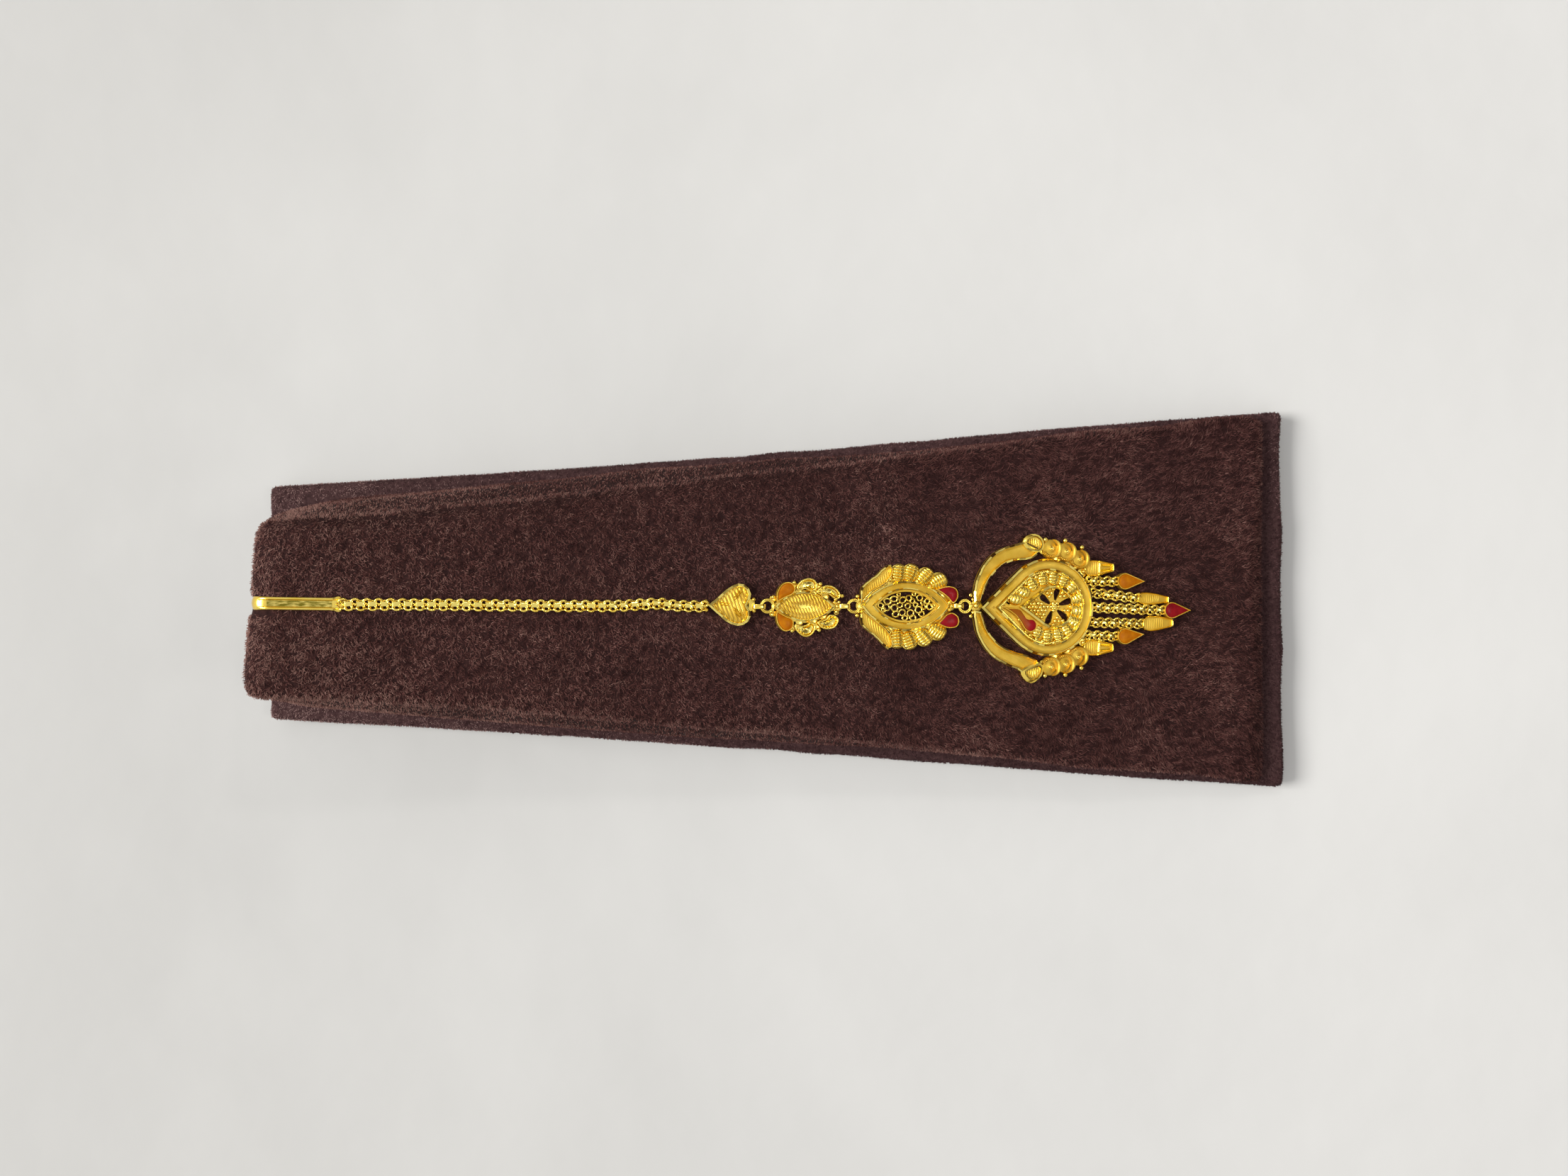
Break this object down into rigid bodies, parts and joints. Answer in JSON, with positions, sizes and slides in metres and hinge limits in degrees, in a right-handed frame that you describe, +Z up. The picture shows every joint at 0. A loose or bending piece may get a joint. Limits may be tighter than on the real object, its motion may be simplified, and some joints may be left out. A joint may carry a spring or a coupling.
{
  "type": "maang tikka on display stand",
  "caption": "Gold hair jewel with a hook, a flat chain, two marquise links, a drop-shaped pendant and short fringe drops, laid down a plain suede display ramp.",
  "frame": {"origin": "centre of the base board's underside, on the surface the stand rests on", "axes": "+X along the board from the ramp's high end with the hook to its low end with the drops, +Y across the board, +Z up"},
  "size_m": [0.1608, 0.059, 0.0387],
  "materials": {
    "suede": "short napped dark brown suede",
    "gold": "polished and diamond-cut yellow gold with matte ribbed fields",
    "orange_enamel": "glossy translucent orange enamel",
    "red_enamel": "glossy translucent red enamel"
  },
  "bodies": {
    "root": {"base_board": "suede", "drop_1": "gold", "drop_2": "gold", "drop_3": "gold", "drop_4": "gold", "drop_5": "gold", "drop_chain_1": "gold", "drop_chain_2": "gold", "drop_chain_3": "gold", "drop_chain_4": "gold", "drop_chain_5": "gold", "enamel_drop_1": "orange_enamel", "enamel_drop_3": "red_enamel", "enamel_drop_5": "orange_enamel", "enamel_medium_lower": "red_enamel", "enamel_medium_upper": "red_enamel", "enamel_pendant": "red_enamel", "enamel_small_lower": "orange_enamel", "enamel_small_upper": "orange_enamel", "heart_motif": "gold", "hook": "gold", "main_chain": "gold", "medium_motif": "gold", "pendant": "gold", "ramp_pad": "suede", "small_motif": "gold"}
  },
  "joints": []
}
